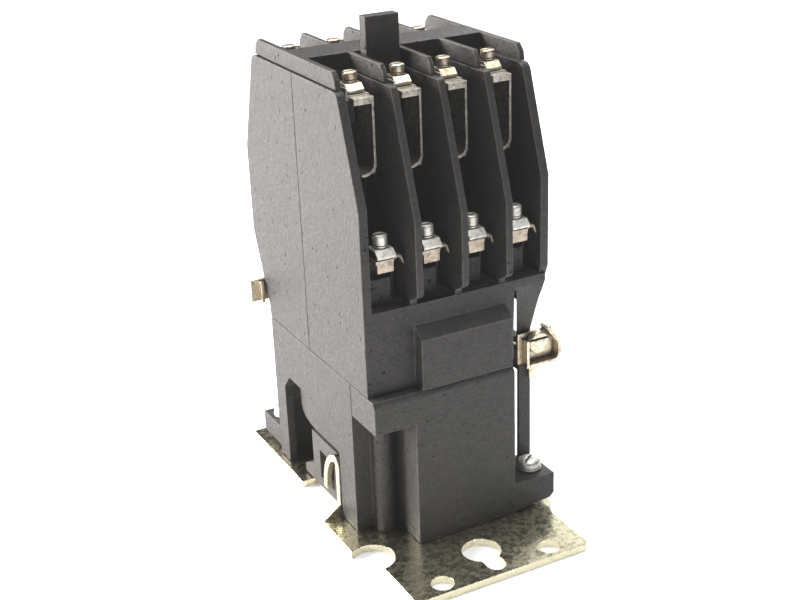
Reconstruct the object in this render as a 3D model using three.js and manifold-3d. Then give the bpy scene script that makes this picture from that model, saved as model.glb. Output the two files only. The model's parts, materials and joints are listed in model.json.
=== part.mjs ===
// Eight-pole industrial control relay on a steel mounting plate.
// Millimetres, +Z up away from the mounting panel, origin at the middle of the plate-side footprint of
// the body. The finned terminal front faces -Y. Most pieces are drawn at the front, and the rear ones are
// the same turned half round about Z. The windows behind the front coil terminal, the tab's opening and
// the rear coil terminal are on one side only.
import * as THREE from "three";
import { mergeVertices } from "three/addons/utils/BufferGeometryUtils.js";
import Module from "manifold-3d";

const wasm = await Module();
wasm.setup();

// ---------------------------------------------------------------- driving dimensions
const GAP = 0.3; // clearance between touching pieces
const HALF_WIDTH = 33; // body half width, X
const WALL = 3; // moulded side wall
const BASE_HALF_DEPTH = 47; // base covers, feet and barrier fins, Y
const HOUSING_HALF_DEPTH = 42.5; // contact housing side walls, Y
const NOTCH_DEPTH = 32.4; // side wall edge behind the coil terminal, Y

const PLATE_T = 2.5;
const BASE_Z = PLATE_T + GAP;
const FOOT_TOP = 13.5;
const ARCH_TOP = 27.3;
const SCOOP_TOP = 38.3;
const LIP_BOTTOM = 46;
const SEAM_Z = 57; // base to contact housing
const NOTCH_LOW = 61;
const NOTCH_HIGH = 87;
const LEDGE_Z = 84.5; // floor edge of the terminal compartments
const PANEL_TOP = 74; // raised centre panel of the contact housing
const LOWER_TAB_Z = 99.2;
const SHOULDER_Z = 117; // side walls lean back above this
const CHAMBER_TOP = 138;
const UPPER_TAB_Z = 146;
const HOUSING_TOP = 150.2;
const TOP_Z = 155.6; // top of the cross wall and the thin barriers
const TAB_TOP = 166.6; // manual operating tab, at rest

const POLES = 4; // poles in a row, front and rear
const PITCH = 15.8; // barrier fin spacing, X
const FIN_T = 2.4;
const TRAVEL = 5; // crossbar stroke, down
const FOOT_SCREW = { x: 27.5, y: -40, hole: 4.8 };
const COIL_TERMINAL = { x: 33.9, z: 57.1 };
const REAR_COIL_TERMINAL = { x: 31, z: 66 };
const BRACKET_SHEET = 1.2; // thickness of the coil terminals
const BRACKET_Y = -NOTCH_DEPTH - GAP; // inner face of the front bracket
const REAR_BRACKET_Y = -NOTCH_DEPTH - 4.2; // the same of the rear one, drawn at the front

// ---------------------------------------------------------------- materials
function finish(name, color, roughness, metalness) {
  const m = new THREE.MeshStandardMaterial({ color, roughness, metalness });
  m.name = name;
  return m;
}

const blackMoulding = finish("black_moulding", 0x232322, 0.55, 0);
const chromatedSteel = finish("chromated_steel", 0x9a8a4e, 0.35, 1);
const brass = finish("brass", 0xd8b878, 0.3, 1);
const platedSteel = finish("plated_steel", 0xc8c8c4, 0.3, 1);
const coreSteel = finish("core_steel", 0x77736c, 0.45, 1);
const coilTape = finish("coil_tape", 0x2b2723, 0.7, 0);
const greyMoulding = finish("grey_moulding", 0x4a4a48, 0.6, 0);
const springSteel = finish("spring_steel", 0xb4b4b0, 0.3, 1);
const contactCopper = finish("silver_contacts", 0xc9a36a, 0.35, 1);

// ---------------------------------------------------------------- solids and booleans
function solid(geometry) {
  const bare = geometry.index ? geometry.toNonIndexed() : geometry;
  for (const name of Object.keys(bare.attributes)) {
    if (name !== "position") bare.deleteAttribute(name);
  }
  const merged = mergeVertices(bare, 1e-4);
  const vertProperties = new Float32Array(merged.attributes.position.array);
  const triVerts = new Uint32Array(merged.index.array);
  return new wasm.Manifold(new wasm.Mesh({ numProp: 3, vertProperties, triVerts }));
}

// A box between two corners, given as ranges on X, Y and Z.
function box(x, y, z) {
  const g = new THREE.BoxGeometry(x[1] - x[0], y[1] - y[0], z[1] - z[0]);
  g.translate((x[0] + x[1]) / 2, (y[0] + y[1]) / 2, (z[0] + z[1]) / 2);
  return solid(g);
}

function outline(points) {
  const shape = new THREE.Shape();
  points.forEach(([a, b], i) => (i ? shape.lineTo(a, b) : shape.moveTo(a, b)));
  shape.closePath();
  return shape;
}

function prism(shape, depth) {
  return new THREE.ExtrudeGeometry(shape, { depth, bevelEnabled: false, curveSegments: 5 });
}

// Outlines in the XY, YZ and XZ planes, pushed along the third axis over a range.
function prismZ(shape, z) {
  return solid(prism(shape, z[1] - z[0]).translate(0, 0, z[0]));
}

function prismX(shape, x) {
  const g = prism(shape, x[1] - x[0]).rotateX(Math.PI / 2).rotateZ(Math.PI / 2);
  return solid(g.translate(x[0], 0, 0));
}

function prismY(shape, y) {
  return solid(prism(shape, y[1] - y[0]).rotateX(Math.PI / 2).translate(0, y[1], 0));
}

// A cylinder about Z, X or Y through a centre.
function rod(radius, length, centre, axis = "z", segments = 16) {
  const g = new THREE.CylinderGeometry(radius, radius, length, segments);
  if (axis === "z") g.rotateX(Math.PI / 2);
  if (axis === "x") g.rotateZ(Math.PI / 2);
  return solid(g.translate(...centre));
}

// A turned shape about Z from [radius, z] points that start and end on the axis.
function turned(points, centre, segments = 16) {
  const g = new THREE.LatheGeometry(points.map(([r, z]) => new THREE.Vector2(r, z)), segments);
  return solid(g.rotateX(Math.PI / 2).translate(...centre));
}

const join = (...parts) => parts.reduce((a, b) => a.add(b));
const cut = (body, ...tools) => tools.reduce((a, b) => a.subtract(b), body);
const halfTurn = (body) => body.rotate([0, 0, 180]);

// ---------------------------------------------------------------- scene graph
const relay = new THREE.Group();
const bodies = {};
for (const name of ["fixed", "moving"]) {
  bodies[name] = new THREE.Group();
  relay.add(bodies[name]);
}

function add(name, body, material, group = bodies.fixed) {
  const mesh = body.getMesh();
  const g = new THREE.BufferGeometry();
  g.setAttribute("position", new THREE.BufferAttribute(new Float32Array(mesh.vertProperties), 3));
  g.setIndex(new THREE.BufferAttribute(new Uint32Array(mesh.triVerts), 1));
  g.computeVertexNormals();
  const node = new THREE.Mesh(g, material);
  node.name = name;
  group.add(node);
}

// ---------------------------------------------------------------- mounting plate
const PLATE = { left: -35, right: 28.2, front: -74.3, rear: 53.5, ear: -39.8, centre: -3.6 };
const PLATE_HOLES = { offset: 19.7, y: -69.2, radius: 3.7 };
const KEYHOLE = { y: -59.9, radius: 6.4, slotHalf: 3.1, slotEnd: -69 };
const CUTOUT = { front: -22, rear: 9.5, depth: 6 };
const EDGE_NOTCH = { y: -45.6, radius: 7.4 };
const HOOK = { front: -18.4, back: -15.9, end: -5.6, top: 24.3, tip: 8, x: [-33.4, -31.3] };

// Hook bent up from the ear's rear edge, curled over to the rear inside the side window.
function hookTab() {
  const { front, back, end, top, tip, x } = HOOK;
  const hook = new THREE.Shape();
  hook.moveTo(CUTOUT.front - 2, 0);
  hook.lineTo(back - 0.8, 0);
  hook.lineTo(back, 0.8);
  hook.lineTo(back, top - 4);
  hook.quadraticCurveTo(back, top - PLATE_T, back + 0.8, top - PLATE_T);
  hook.bezierCurveTo(end - 5.4, top - PLATE_T - 1, end - PLATE_T, top - 8, end - PLATE_T, tip);
  hook.lineTo(end, tip);
  hook.bezierCurveTo(end, top - 7, end - 4, top - 1, back + 0.8, top);
  hook.quadraticCurveTo(front, top, front, top - 4);
  hook.lineTo(front, PLATE_T);
  hook.lineTo(CUTOUT.front - 2, PLATE_T);
  hook.closePath();
  const flare = outline([
    [PLATE.ear, -1], [x[1], -1], [x[1], top + 1], [x[0], top + 1], [x[0], 7], [PLATE.ear, PLATE_T],
  ]);
  return prismX(hook, [PLATE.ear, x[1]]).intersect(prismY(flare, [CUTOUT.front - 1, 0]));
}

function mountingPlate() {
  const { left, right, front, rear, ear, centre } = PLATE;
  const inner = left + CUTOUT.depth;
  const shape = outline([
    [left, front], [right - 1.5, front], [right, front + 1.5], [right, -53.5], [29.7, -48.5],
    [32, -46.5], [32, CUTOUT.front],
    [-left, CUTOUT.front], [-left, -CUTOUT.rear], [-inner, -CUTOUT.rear], [-inner, -CUTOUT.front],
    [-ear, -CUTOUT.front], [-ear, 37], [-left, 37], [-left, rear], [left, rear], [left, CUTOUT.rear],
    [inner, CUTOUT.rear], [inner, CUTOUT.front], [ear, CUTOUT.front], [ear, -39.5], [left, -39.5],
  ]);
  const through = 3 * PLATE_T;
  const holes = [-1, 1].map((s) =>
    rod(PLATE_HOLES.radius, through, [centre + s * PLATE_HOLES.offset, PLATE_HOLES.y, 0], "z", 24));
  const keySlot = box(
    [centre - KEYHOLE.slotHalf, centre + KEYHOLE.slotHalf], [KEYHOLE.slotEnd, KEYHOLE.y], [-1, 4]);
  const keyEnd = rod(KEYHOLE.slotHalf, through, [centre, KEYHOLE.slotEnd, 0], "z", 16);
  const key = rod(KEYHOLE.radius, through, [centre, KEYHOLE.y, 0], "z", 28);
  const notch = rod(EDGE_NOTCH.radius, through, [left - 0.6, EDGE_NOTCH.y, 0], "z", 28);
  const taps = [1, -1].map((s) =>
    rod(FOOT_SCREW.hole / 2, through, [s * FOOT_SCREW.x, s * FOOT_SCREW.y, 0]));
  const plate = cut(prismZ(shape, [0, PLATE_T]), ...holes, keySlot, keyEnd, key, notch, ...taps);
  return join(plate, hookTab(), halfTurn(hookTab()));
}

// ---------------------------------------------------------------- base
const CAVITY_Y = 27.5; // inner face of the base's cross walls
const COVER_Y = 30.1; // seam between the base and its end covers
const LEG_Y = 31; // inner face of the leg beside the coil terminal
const CHANNEL_X = [17.2, 28.4]; // coil terminal channel beside the centre panel
const PANEL_EDGE = 17.6; // right edge of the front panel
const PANEL_LEFT = 18.8; // left edge of the front panel, below the lip
const RAISED_LEFT = -16; // left edge of the contact housing's raised panel
const BOSS = { x: -23.6, radius: 3.3 };
const LEG_WINDOW = { back: -20.5, base: [9.5, 45], housing: [50, 70.5] }; // behind the coil terminal

const POST_Y = 24.5; // window side of the post at the wall's end
const SCOOP_DEPTH = 6;

// Window, scoop and post of the left side wall; the right wall has the same turned round. The scoop is
// a hollow in the wall's outer face that deepens towards the post.
function sideWindow() {
  const deep = [-HALF_WIDTH - 1, -CHANNEL_X[1]];
  const window = box([-HALF_WIDTH - 1, -HALF_WIDTH + SCOOP_DEPTH + 3], [-18.9, POST_Y], [0, ARCH_TOP]);
  const hollow = new THREE.Shape();
  hollow.moveTo(-HALF_WIDTH - 0.5, -1);
  hollow.lineTo(-HALF_WIDTH, -1);
  hollow.quadraticCurveTo(-HALF_WIDTH, (POST_Y - 1) / 2, -HALF_WIDTH + SCOOP_DEPTH, POST_Y);
  hollow.lineTo(-HALF_WIDTH - 0.5, POST_Y);
  hollow.closePath();
  const scoop = prismZ(hollow, [ARCH_TOP - 1, SCOOP_TOP]);
  const corner = prismX(
    outline([[19.9, SCOOP_TOP + 1], [19.9, SCOOP_TOP], [24.5, 33.2], [26, 33.2], [26, SCOOP_TOP + 1]]),
    deep);
  return join(window, cut(scoop, corner));
}

function foot() {
  const { x, y, hole } = FOOT_SCREW;
  const shape = outline([
    [PANEL_EDGE - 1, BASE_Z + 0.3], [HALF_WIDTH - 1.6, BASE_Z + 1.5], [HALF_WIDTH, BASE_Z + 3.1],
    [HALF_WIDTH, FOOT_TOP], [PANEL_EDGE - 1, FOOT_TOP],
  ]);
  const block = prismY(shape, [-BASE_HALF_DEPTH, -COVER_Y]);
  return cut(block, rod(hole / 2, 30, [x, y, FOOT_TOP]));
}

// Front panel of a half: lip round the left corner above, and centre panel below, hollow behind.
function endPanel() {
  const top = SEAM_Z - GAP / 2;
  const back = -COVER_Y - GAP;
  const front = -BASE_HALF_DEPTH;
  const lip = prismX(outline([
    [front, LIP_BOTTOM], [back, LIP_BOTTOM], [back, top], [front + 1.2, top], [front, top - 1.8],
  ]), [-HALF_WIDTH, PANEL_EDGE]);
  const panel = box([-PANEL_LEFT, PANEL_EDGE], [front, back], [BASE_Z, LIP_BOTTOM + 1]);
  const hollow = box(
    [-PANEL_LEFT + 2.4, PANEL_EDGE - 2.4], [front + 2.6, back + 1], [BASE_Z - 1, LIP_BOTTOM - 2.5]);
  return cut(join(lip, panel), hollow);
}

// Left wall with its window, the cross wall in front of the magnet, and the half-round boss.
function wallAndCross() {
  const height = [BASE_Z, SEAM_Z - GAP / 2];
  const wall = box([-HALF_WIDTH, -HALF_WIDTH + WALL], [-COVER_Y, NOTCH_DEPTH], height);
  const post = box([-HALF_WIDTH, -CHANNEL_X[1]], [LEG_Y, NOTCH_DEPTH], height);
  const backing = box([-HALF_WIDTH, -HALF_WIDTH + SCOOP_DEPTH + 1.5], [2, POST_Y + 1.5],
    [ARCH_TOP, SCOOP_TOP + 2]);
  const cross = box([-HALF_WIDTH, CHANNEL_X[0]], [-COVER_Y, -CAVITY_Y], height);
  const bossHeight = LIP_BOTTOM - 1 - BASE_Z;
  const bossY = -COVER_Y - 2.2;
  const boss = rod(BOSS.radius, bossHeight, [BOSS.x, bossY, BASE_Z + bossHeight / 2], "z", 20);
  const bossRoot = box(
    [BOSS.x - BOSS.radius, BOSS.x + BOSS.radius], [bossY, -CAVITY_Y], [BASE_Z, LIP_BOTTOM - 1]);
  const cheek = box([CHANNEL_X[0] - 2.4, CHANNEL_X[0]], [-COVER_Y, -20], height);
  return join(cut(join(wall, post, backing, cross), sideWindow()), boss, bossRoot, cheek);
}

// One of the two mouldings: the front one holds the front panel and the right wall. Only the right
// wall has the tall window behind the coil terminal's leg. At the rear a web closes the channel there.
function baseHalf(side) {
  const half = join(halfTurn(wallAndCross()), foot(), endPanel());
  const web = box([CHANNEL_X[0] + GAP, HALF_WIDTH - 1], [-COVER_Y, -CAVITY_Y],
    [BASE_Z, SEAM_Z - GAP / 2]);
  if (side === "rear") return halfTurn(join(half, web));
  const windowX = [CHANNEL_X[1] - 6, HALF_WIDTH + 1];
  return cut(half, box(windowX, [-LEG_Y, LEG_WINDOW.back], LEG_WINDOW.base));
}

// ---------------------------------------------------------------- contact housing
const FRONT_WALL_Y = [-16, -14]; // front wall of the contact chamber
const CROSS_WALL = 6.9; // half depth of the cross wall
const SHELF_Y = -38;
const poleX = (i) => (i - (POLES - 1) / 2) * PITCH;
const finX = (i) => (i - 1) * PITCH;
const FACE_EDGE = 20; // right edge of the front face beside the raised panel
const BLOCK_STEP_Z = 93.4; // front step of the blocks under the lower terminals
const UPPER_SCREW_Y = -22;
const LOWER_SCREW_Y = -37.2;

const SIDE_PROFILE = [
  [-0.15, SEAM_Z + GAP / 2], [-HOUSING_HALF_DEPTH, SEAM_Z + GAP / 2], [-HOUSING_HALF_DEPTH, SHOULDER_Z],
  [-32.1, 148.6], [-30.8, HOUSING_TOP - 0.3], [-29, HOUSING_TOP], [-0.15, HOUSING_TOP],
];
const NOTCHED_PROFILE = [
  [-0.15, SEAM_Z + GAP / 2], [-NOTCH_DEPTH, SEAM_Z + GAP / 2], [-NOTCH_DEPTH, NOTCH_LOW],
  [-HOUSING_HALF_DEPTH, NOTCH_HIGH], ...SIDE_PROFILE.slice(2),
];
const FIN_PROFILE = [
  [-8, LEDGE_Z - 1], [-HOUSING_HALF_DEPTH + 0.2, LEDGE_Z - 1], [-HOUSING_HALF_DEPTH, LEDGE_Z + 1.5],
  [-BASE_HALF_DEPTH + 0.9, 87.9], [-BASE_HALF_DEPTH, 89], [-BASE_HALF_DEPTH, 112], [-35, 149.4],
  [-34.2, HOUSING_TOP], [-8, HOUSING_TOP],
];

function contactHousing(side) {
  const left = prismX(outline(SIDE_PROFILE), [-HALF_WIDTH, -HALF_WIDTH + WALL]);
  const right = prismX(outline(NOTCHED_PROFILE), [HALF_WIDTH - WALL, HALF_WIDTH]);
  const inside = [-HALF_WIDTH + 1, HALF_WIDTH - 1];
  const fins = Array.from({ length: POLES - 1 }, (_, i) =>
    prismX(outline(FIN_PROFILE), [finX(i) - FIN_T / 2, finX(i) + FIN_T / 2]));
  const front = -HOUSING_HALF_DEPTH;
  const face = box([inside[0], FACE_EDGE], [front, front + 3], [SEAM_Z + GAP / 2, LEDGE_Z]);
  const raised = prismX(outline([
    [front + 1, SEAM_Z + GAP / 2], [-BASE_HALF_DEPTH, SEAM_Z + GAP / 2], [-BASE_HALF_DEPTH, PANEL_TOP],
    [front, PANEL_TOP + 3.7], [front + 1, PANEL_TOP + 3.7],
  ]), [RAISED_LEFT, 16.8]);
  const cheek = box([CHANNEL_X[0] - 2.4, CHANNEL_X[0]], [front, -20], [SEAM_Z + GAP / 2, LEDGE_Z]);
  const ceiling = prismX(outline([
    [front, LEDGE_Z - 2.5], [front, LEDGE_Z], [front + 3, LEDGE_Z], [-30.6, 63], [-30.6, NOTCH_LOW - 4],
    [-NOTCH_DEPTH, NOTCH_LOW - 4], [-NOTCH_DEPTH, NOTCH_LOW],
  ]), [FACE_EDGE - 1, inside[1]]);
  const passage = prismZ(outline([
    [FACE_EDGE, front - 1], [FACE_EDGE + 0.3, front - 1], [30, -28.4], [FACE_EDGE, -28.4],
  ]), [SEAM_Z - 1, LEDGE_Z - 4]);
  const floor = box(inside, [front, -14], [LEDGE_Z - 2.5, LEDGE_Z]);
  const chamberFront = box(inside, FRONT_WALL_Y, [LEDGE_Z - 1, CHAMBER_TOP]);
  const chamberRoof = box(inside, [FRONT_WALL_Y[0], -0.15], [CHAMBER_TOP - 2, CHAMBER_TOP]);
  const crossWall = box(inside, [-CROSS_WALL, -0.15], [CHAMBER_TOP - 1, HOUSING_TOP]);
  const blocks = [];
  const tools = [];
  for (let i = 0; i < POLES; i++) {
    const x = poleX(i);
    blocks.push(box([x - 7.5, x + 2.6], [SHELF_Y, -15], [LEDGE_Z - 1, BLOCK_STEP_Z]));
    blocks.push(box([x - 7.5, x + 2.6], [-34.4, -15], [LEDGE_Z - 1, LOWER_TAB_Z - GAP]));
    blocks.push(box([x + 4.7, x + 5.4], [-34.4, -15], [LEDGE_Z - 1, LOWER_TAB_Z - 2]));
    blocks.push(box([x - 7.5, x + 2.2], [-19.7, -6], [CHAMBER_TOP - 1, UPPER_TAB_Z - GAP]));
    tools.push(box([x + 2.6, x + 4], [-17, -13], [107, 113.7]));
    tools.push(box([x - 6, x - 2.6], [-17, -13], [LOWER_TAB_Z - 0.8, LOWER_TAB_Z + 1.9]));
  }
  const tabHole = box([poleX(1) - 6.7, poleX(1) + 6.7], [-13.2, -CROSS_WALL], [CHAMBER_TOP - 3, 160]);
  const sightX = [HALF_WIDTH - WALL - 1, HALF_WIDTH + 1];
  const sightWindow = box(sightX, [-LEG_Y, LEG_WINDOW.back], LEG_WINDOW.housing);
  const body = cut(
    join(left, right, ...fins, face, raised, cheek, ceiling, floor, chamberFront, chamberRoof,
      crossWall, ...blocks),
    ...tools, passage);
  if (side === "rear") return halfTurn(body);
  return cut(body, tabHole, sightWindow);
}

// Cross wall with the thin barriers that stand on the walls and fins below.
function topCover() {
  const z = [HOUSING_TOP + GAP, TOP_Z];
  const cross = box([-30.5, 30.5], [-CROSS_WALL, CROSS_WALL], z);
  const barrier = outline([
    [-30, z[0]], [30, z[0]], [29.4, TOP_Z - 2.2], [27.4, TOP_Z], [-27.4, TOP_Z], [-29.4, TOP_Z - 2.2],
  ]);
  const places = [[-32.3, -30.3], [30.3, 32.3]];
  for (let i = 0; i < POLES - 1; i++) places.push([finX(i) - 0.8, finX(i) + 0.8]);
  return join(cross, ...places.map((x) => prismX(barrier, x)));
}

// ---------------------------------------------------------------- terminals
const LAND_STEP = 0.4; // wire lands lie this far below the seat of the saddle

// Upper terminal: clamping tab with a turned-up left edge, vertical leaf with a curled foot, and an
// arm to its contact.
function upperTerminal(i) {
  const x = poleX(i);
  const z = UPPER_TAB_Z;
  const top = z + 1.5;
  const leafX = [x + 2.9, x + 3.7];
  const tab = box([x - 3.9, leafX[1]], [-26.9, -17.5], [z, top]);
  const land = box([x - 2.9, leafX[1]], [-30, -26.5], [z, top - LAND_STEP]);
  const lip = box([x - 2.9, leafX[1]], [-30, -29.1], [z - 1, z + 0.5]);
  const guide = box([x - 3.9, x - 3.2], [-26.9, -21], [z, top + 2.2]);
  const leaf = prismX(outline([
    [-30, 126], [-30, z + 1], [-18, z + 1], [-18, 112.7], [-7.6, 112.7], [-7.6, 108], [-22, 108],
    [-22, 123], [-28.6, 123],
  ]), leafX);
  const curl = new THREE.Shape();
  curl.moveTo(leafX[1], 127);
  curl.absarc(leafX[1] - 4, 127, 4, 0, -1.9, true);
  curl.absarc(leafX[1] - 4, 127, 3.1, -1.9, 0, false);
  curl.closePath();
  const foot = prismY(curl, [-30, -23]);
  const button = box([leafX[0], x + 5.6], [-11.2, -8], [112.2, 114.2]);
  const hole = rod(1.9, 8, [x, UPPER_SCREW_Y, z], "z", 10);
  return cut(join(tab, land, lip, guide, leaf, foot, button), hole);
}

// Lower terminal: clamping tab with a turned-down front edge, and a riser to its contact.
function lowerTerminal(i) {
  const x = poleX(i);
  const z = LOWER_TAB_Z;
  const top = z + 1.2;
  const tab = box([x - 3.7, x + 2.5], [-41.2, -32.7], [z, top]);
  const land = box([x - 3.7, x + 2.5], [-33, -29.6], [z, top - LAND_STEP]);
  const apron = box([x - 3.2, x + 2.3], [-41.2, -40.1], [z - 2.9, z + 1]);
  const strip = box([x - 5.6, x - 3.2], [-31, -7.6], [z, top]);
  const riser = box([x - 5.6, x - 3.2], [-8.8, -7.6], [z, 112.7]);
  const button = box([x - 5.7, x - 3], [-11.2, -7.6], [111.5, 114.2]);
  const ear = prismY(outline([
    [x + 2, z + 0.2], [x + 3.9, z + 0.9], [x + 4.9, z + 0.7], [x + 5.8, z - 1.4], [x + 6.3, z - 1.2],
    [x + 5.4, z + 1.5], [x + 4.4, z + 1.8], [x + 3.3, z + 1.2], [x + 2, top],
  ]), [-40.6, SHELF_Y - GAP]);
  const hole = rod(1.9, 8, [x, LOWER_SCREW_Y, z], "z", 10);
  return cut(join(tab, land, apron, strip, riser, button, ear), hole);
}

// Slotted screw with its captive wire saddle, standing on a terminal tab. The head runs between two
// heights over the tab, and the saddle covers a range of X about the screw.
function terminalScrew(x, y, z, head, saddleX) {
  const screw = turned([
    [0, -6.5], [1.6, -6.5], [1.6, head[0]], [2.25, head[0]], [2.25, head[1] - 0.5], [1.8, head[1]],
    [0, head[1]],
  ], [0, 0, 0], 12);
  const slot = box([-4, 4], [-0.4, 0.4], [head[1] - 1, head[1] + 1]);
  const saddle = prismX(outline([
    [-4.2, 0], [4.2, 0], [4.2, 0.8], [2.4, 2.5], [-2.4, 2.5], [-4.2, 0.8],
  ]), saddleX);
  return join(cut(screw, slot), saddle).translate([x, y, z]);
}

// ---------------------------------------------------------------- magnet and coil
const CORE_TOP = 40;
const BOBBIN_Z = [17, 46];
const ARMATURE_LOW = CORE_TOP + TRAVEL + GAP;
const BEAM_Z = 62.3; // underside of the crossbar's beam
const SPRING = { y: 13.6, radius: 2.7, wire: 0.4, turns: 4 };

const MAGNET_LEGS = [[-23, -16], [-6, 6], [16, 23]]; // X ranges of the E's three legs
const MAGNET_X = [-23, 23];
const MAGNET_Y = [-8, 8];

function magnetCore() {
  const legs = MAGNET_LEGS.map((x) => box(x, MAGNET_Y, [7, CORE_TOP]));
  return join(box(MAGNET_X, MAGNET_Y, [5.6, 15]), ...legs);
}

function armature() {
  const legs = MAGNET_LEGS.map((x) => box(x, MAGNET_Y, [ARMATURE_LOW, 55]));
  return join(box(MAGNET_X, MAGNET_Y, [53.5, BEAM_Z - GAP]), ...legs);
}

function coilBobbin() {
  const [low, high] = BOBBIN_Z;
  const bore = box([-6.5, 6.5], [-8.5, 8.5], [low - 1, high + 1]);
  const tube = box([-8, 8], [-10, 10], [low, high]);
  const flange = (z) => box([-15.4, 15.4], [-19, 19], [z, z + 2]);
  return cut(join(tube, flange(low), flange(high - 2)), bore);
}

function coilWinding() {
  const [w, d, r] = [14.6, 18.2, 6];
  const shape = new THREE.Shape();
  shape.moveTo(-w + r, -d);
  shape.absarc(w - r, -d + r, r, -Math.PI / 2, 0, false);
  shape.absarc(w - r, d - r, r, 0, Math.PI / 2, false);
  shape.absarc(-w + r, d - r, r, Math.PI / 2, Math.PI, false);
  shape.absarc(-w + r, -d + r, r, Math.PI, 1.5 * Math.PI, false);
  shape.closePath();
  const height = [BOBBIN_Z[0] + 2 + GAP, BOBBIN_Z[1] - 2 - GAP];
  return cut(prismZ(shape, height), box([-8.3, 8.3], [-10.3, 10.3], [0, 60]));
}

// Moulded cradle under the core, with a portal seen through each side window.
function magnetCradle() {
  const floor = box([-28.6, 28.6], [-11, 11], [BASE_Z + 0.4, 5.3]);
  const portal = () => {
    const frame = box([-31, -28.4], [-14.4, 7.6], [BASE_Z + 0.4, 23.2]);
    const opening = box([-32, -27], [-8.8, 1.8], [7, 17.6]);
    const toe = prismX(outline([[7, BASE_Z + 0.4], [15, BASE_Z + 0.4], [15, 6.4], [7, 10.5]]), [-31, -28.4]);
    return join(cut(frame, opening), toe);
  };
  return join(floor, portal(), halfTurn(portal()));
}

// Return spring standing on the bobbin, under the crossbar's spring seat.
function returnSpring() {
  const { y, radius, wire, turns } = SPRING;
  const [low, high] = [BOBBIN_Z[1] + GAP + wire, BEAM_Z - GAP - wire];
  const perTurn = 8;
  const points = Array.from({ length: perTurn * turns + 1 }, (_, i) => {
    const angle = (i / perTurn) * 2 * Math.PI;
    const z = low + ((high - low) * i) / (perTurn * turns);
    return new THREE.Vector3(radius * Math.cos(angle), -y + radius * Math.sin(angle), z);
  });
  const section = new THREE.Shape();
  section.absarc(0, 0, wire, 0, 2 * Math.PI, false);
  const extrudePath = new THREE.CatmullRomCurve3(points);
  const steps = perTurn * turns;
  return solid(new THREE.ExtrudeGeometry(section, { steps, extrudePath, curveSegments: 3 }));
}

// Front coil terminal: brass bracket with turned-out edges, and a strip back into the channel.
function coilTerminal() {
  const { x, z } = COIL_TERMINAL;
  const y = BRACKET_Y;
  const edge = [y - 4.2, y];
  const channel = [CHANNEL_X[1] - 1.4, CHANNEL_X[1] - GAP];
  const sheet = [y - BRACKET_SHEET, y];
  const plate = box([channel[0], x + 6.6], sheet, [z - 7.4, z + 3.5]);
  const strip = box(channel, [sheet[0], -24], [z - 7.4, z - 0.6]);
  const lower = box([x - 5.2, x + 6.6], edge, [z - 8.2, z - 7]);
  const left = box([x - 5.2, x - 4.1], edge, [z - 8.2, z + 1.6]);
  const curl = prismY(outline([
    [x + 5.2, z - 8.2], [x + 6.8, z - 8.2], [x + 8.4, z - 6.4], [x + 8.4, z - 1.2], [x + 3.4, z + 5.2],
    [x + 2.4, z + 4.5], [x + 7.2, z - 1.5], [x + 7.2, z - 6], [x + 6.4, z - 7], [x + 5.2, z - 7],
  ]), edge);
  const tail = box([x - 2.4, x + 0.3], sheet, [z - 13.6, z - 7]);
  const hole = rod(2, 12, [x, y, z], "y", 16);
  return cut(join(plate, strip, lower, left, curl, tail), hole);
}

// Rear coil terminal, drawn at the front right like the other: it stands higher, on the slope of the
// side wall, with a joggled strip down into the channel.
function rearCoilTerminal() {
  const { x, z } = REAR_COIL_TERMINAL;
  const y = REAR_BRACKET_Y;
  const sheet = [y - BRACKET_SHEET, y];
  const tongueX = [x - 3.4, x - 1.4];
  const plate = box([x - 3.4, x + 7], sheet, [z - 3.9, z + 3.8]);
  const pad = box([x - 3.4, x + 3.4], [sheet[0] - GAP, y - 0.2], [z - 3.9, z + 3.8]);
  const bead = box([x + 2.6, x + 3.8], [y - 0.2, y + 1.8], [z - 4.3, z + 3.4]);
  const tongue = box(tongueX, sheet, [z - 6, z - 3]);
  const shelf = box(tongueX, [sheet[0], BRACKET_Y], [z - 6, z - 4.9]);
  const tail = box(tongueX, [BRACKET_Y - BRACKET_SHEET, BRACKET_Y], [50, z - 4.9]);
  const hole = rod(1.6, 8, [x, y, z], "y", 12);
  return cut(join(plate, pad, bead, tongue, shelf, tail), hole);
}

// Slotted screw along -Y with its head against a bracket's outer face.
function coilTerminalScrew({ x, z }, face, radius) {
  const screw = turned([
    [0, -1.3], [1.5, -1.3], [1.5, 0], [radius, 0], [radius, 1.7], [radius - 0.7, 2.4], [0, 2.4],
  ], [0, 0, 0], 20);
  const slotted = cut(screw, box([-5, 5], [-0.5, 0.5], [1.6, 4]));
  return slotted.rotate([90, 0, 0]).translate([x, face - GAP, z]);
}

function footScrew() {
  const { x, y } = FOOT_SCREW;
  const z = FOOT_TOP + 0.25;
  const screw = turned([
    [0, -12], [2, -12], [2, 0], [4.1, 0], [4.1, 0.9], [3.7, 1], [3.7, 2.3], [2.7, 3.4], [0, 3.8],
  ], [0, 0, 0], 20);
  return cut(screw, box([-5, 5], [-0.5, 0.5], [2.5, 5])).rotate([0, 0, 35]).translate([x, y, z]);
}

// ---------------------------------------------------------------- moving assembly
const BRIDGE_Z = 121;
const BRIDGE_Y = [-12, -7.2];

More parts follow.
